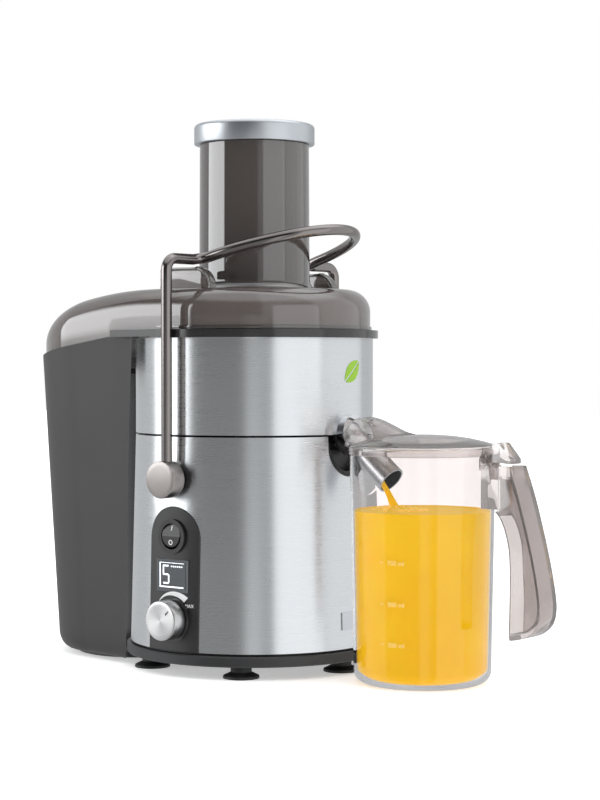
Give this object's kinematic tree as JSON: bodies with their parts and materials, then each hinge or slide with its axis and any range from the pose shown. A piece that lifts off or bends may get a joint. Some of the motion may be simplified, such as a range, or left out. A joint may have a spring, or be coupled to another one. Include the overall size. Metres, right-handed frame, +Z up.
{
  "type": "centrifugal juicer",
  "caption": "Centrifugal juicer with steel base, see-through lid and feed chute, swinging lock arm, pulp bin and lidded jug under a tilted spout",
  "frame": {"origin": "the body's axis where it meets the table", "axes": "+Z up along the body's axis; the control panel faces -Y, the spout and jug are on +X and the pulp bin is on -X"},
  "size_m": [0.4602, 0.216, 0.415],
  "materials": {
    "brushed_steel": "horizontally brushed stainless steel",
    "polished_steel": "satin turned steel",
    "bright_chrome": "polished",
    "dark_chrome": "dark gunmetal chrome",
    "silver_plastic": "silver satin",
    "smoke_plastic": "see-through smoky plastic",
    "clear_smoke": "clear smoky plastic, polished",
    "black_gloss": "gloss",
    "dark_plastic": "fine matt texture",
    "white_plastic": "satin",
    "black_rubber": "matt",
    "window_glass": "dark display window",
    "display_face": "lit display",
    "zinc_steel": "zinc plated",
    "cast_metal": "die cast",
    "lamination": "stacked sheet steel",
    "copper": "enamelled copper",
    "carbon": "pressed carbon",
    "board_green": "circuit board"
  },
  "bodies": {
    "base": {"base_shell": "brushed_steel", "base_frame": "dark_plastic", "base_skirt": "dark_plastic", "bottom_plate": "dark_plastic", "suction_feet": "black_rubber", "bottom_screws": "zinc_steel", "notch_liner": "dark_plastic", "control_panel": "black_gloss", "display_window": "window_glass", "display_module": "display_face", "switch_bezel": "black_gloss", "dial_ring": "black_gloss", "speed_control": "dark_plastic", "control_board": "board_green", "motor_stator": "lamination", "stator_windings": "copper", "motor_brackets": "cast_metal", "motor_screws": "zinc_steel", "motor_mounts": "black_rubber", "carbon_brushes": "carbon", "shaft_bearings": "zinc_steel", "shaft_seal": "black_rubber", "cord_gland": "dark_plastic", "interlock_switch": "dark_plastic", "pivot_bushes": "dark_plastic", "bowl_body": "dark_plastic", "bowl_band": "brushed_steel", "bowl_collar": "black_gloss", "spout_ring": "bright_chrome", "spout_tube": "polished_steel", "badge_plate": "polished_steel"},
    "lid": {"lid_cover": "smoke_plastic", "lid_lugs": "smoke_plastic", "feed_chute": "smoke_plastic"},
    "pusher": {"pusher_body": "black_gloss", "pusher_cap": "silver_plastic"},
    "lock_arm": {"lock_arm": "dark_chrome", "pivot_discs": "dark_chrome", "pivot_pins": "zinc_steel", "interlock_cams": "white_plastic"},
    "rotor": {"motor_shaft": "zinc_steel", "armature": "lamination", "commutator": "copper", "cooling_fan": "white_plastic", "drive_coupling": "dark_plastic", "basket_mesh": "polished_steel", "basket_rim": "polished_steel", "basket_hub": "dark_plastic", "grating_disc": "polished_steel"},
    "dial": {"dial_knob": "polished_steel", "dial_shaft": "zinc_steel"},
    "switch": {"switch_rocker": "black_gloss"},
    "bin": {"pulp_bin": "dark_plastic"},
    "jug": {"jug_body": "clear_smoke", "jug_handle": "clear_smoke", "jug_hinge_pin": "clear_smoke"},
    "jug_lid": {"jug_lid": "clear_smoke"}
  },
  "joints": [
    {"name": "lock_arm_swing", "type": "hinge", "parent": "base", "child": "lock_arm", "pos_m": [0, 0, 0.145], "axis": [0, 1, 0], "range_deg": [0, 48]},
    {"name": "lid_lift", "type": "slide", "parent": "base", "child": "lid", "axis": [0, 0, 1], "range_m": [0, 0.024]},
    {"name": "pusher_lift", "type": "slide", "parent": "lid", "child": "pusher", "axis": [0, 0, 1], "range_m": [0, 0.1]},
    {"name": "rotor_spin", "type": "hinge", "parent": "base", "child": "rotor", "pos_m": [0, 0, 0.2], "axis": [0, 0, 1], "continuous": true},
    {"name": "dial_turn", "type": "hinge", "parent": "base", "child": "dial", "pos_m": [0, -0.095, 0.042], "axis": [0, 1, 0], "range_deg": [-200, 0]},
    {"name": "switch_rock", "type": "hinge", "parent": "base", "child": "switch", "pos_m": [0, -0.0889, 0.103], "axis": [1, 0, 0], "range_deg": [0, 16]},
    {"name": "bin_slide", "type": "slide", "parent": "base", "child": "bin", "axis": [-1, 0, 0], "range_m": [0, 0.12]},
    {"name": "jug_slide", "type": "slide", "parent": "base", "child": "jug", "axis": [1, 0, 0], "range_m": [0, 0.16]},
    {"name": "jug_lid_flip", "type": "hinge", "parent": "jug", "child": "jug_lid", "pos_m": [0.2155, 0, 0.162], "axis": [0, 1, 0], "range_deg": [0, 20]}
  ],
  "couplings": [
    {"joint": "lid_lift", "follows": "lock_arm_swing", "m_per_rad": 0.0286}
  ]
}
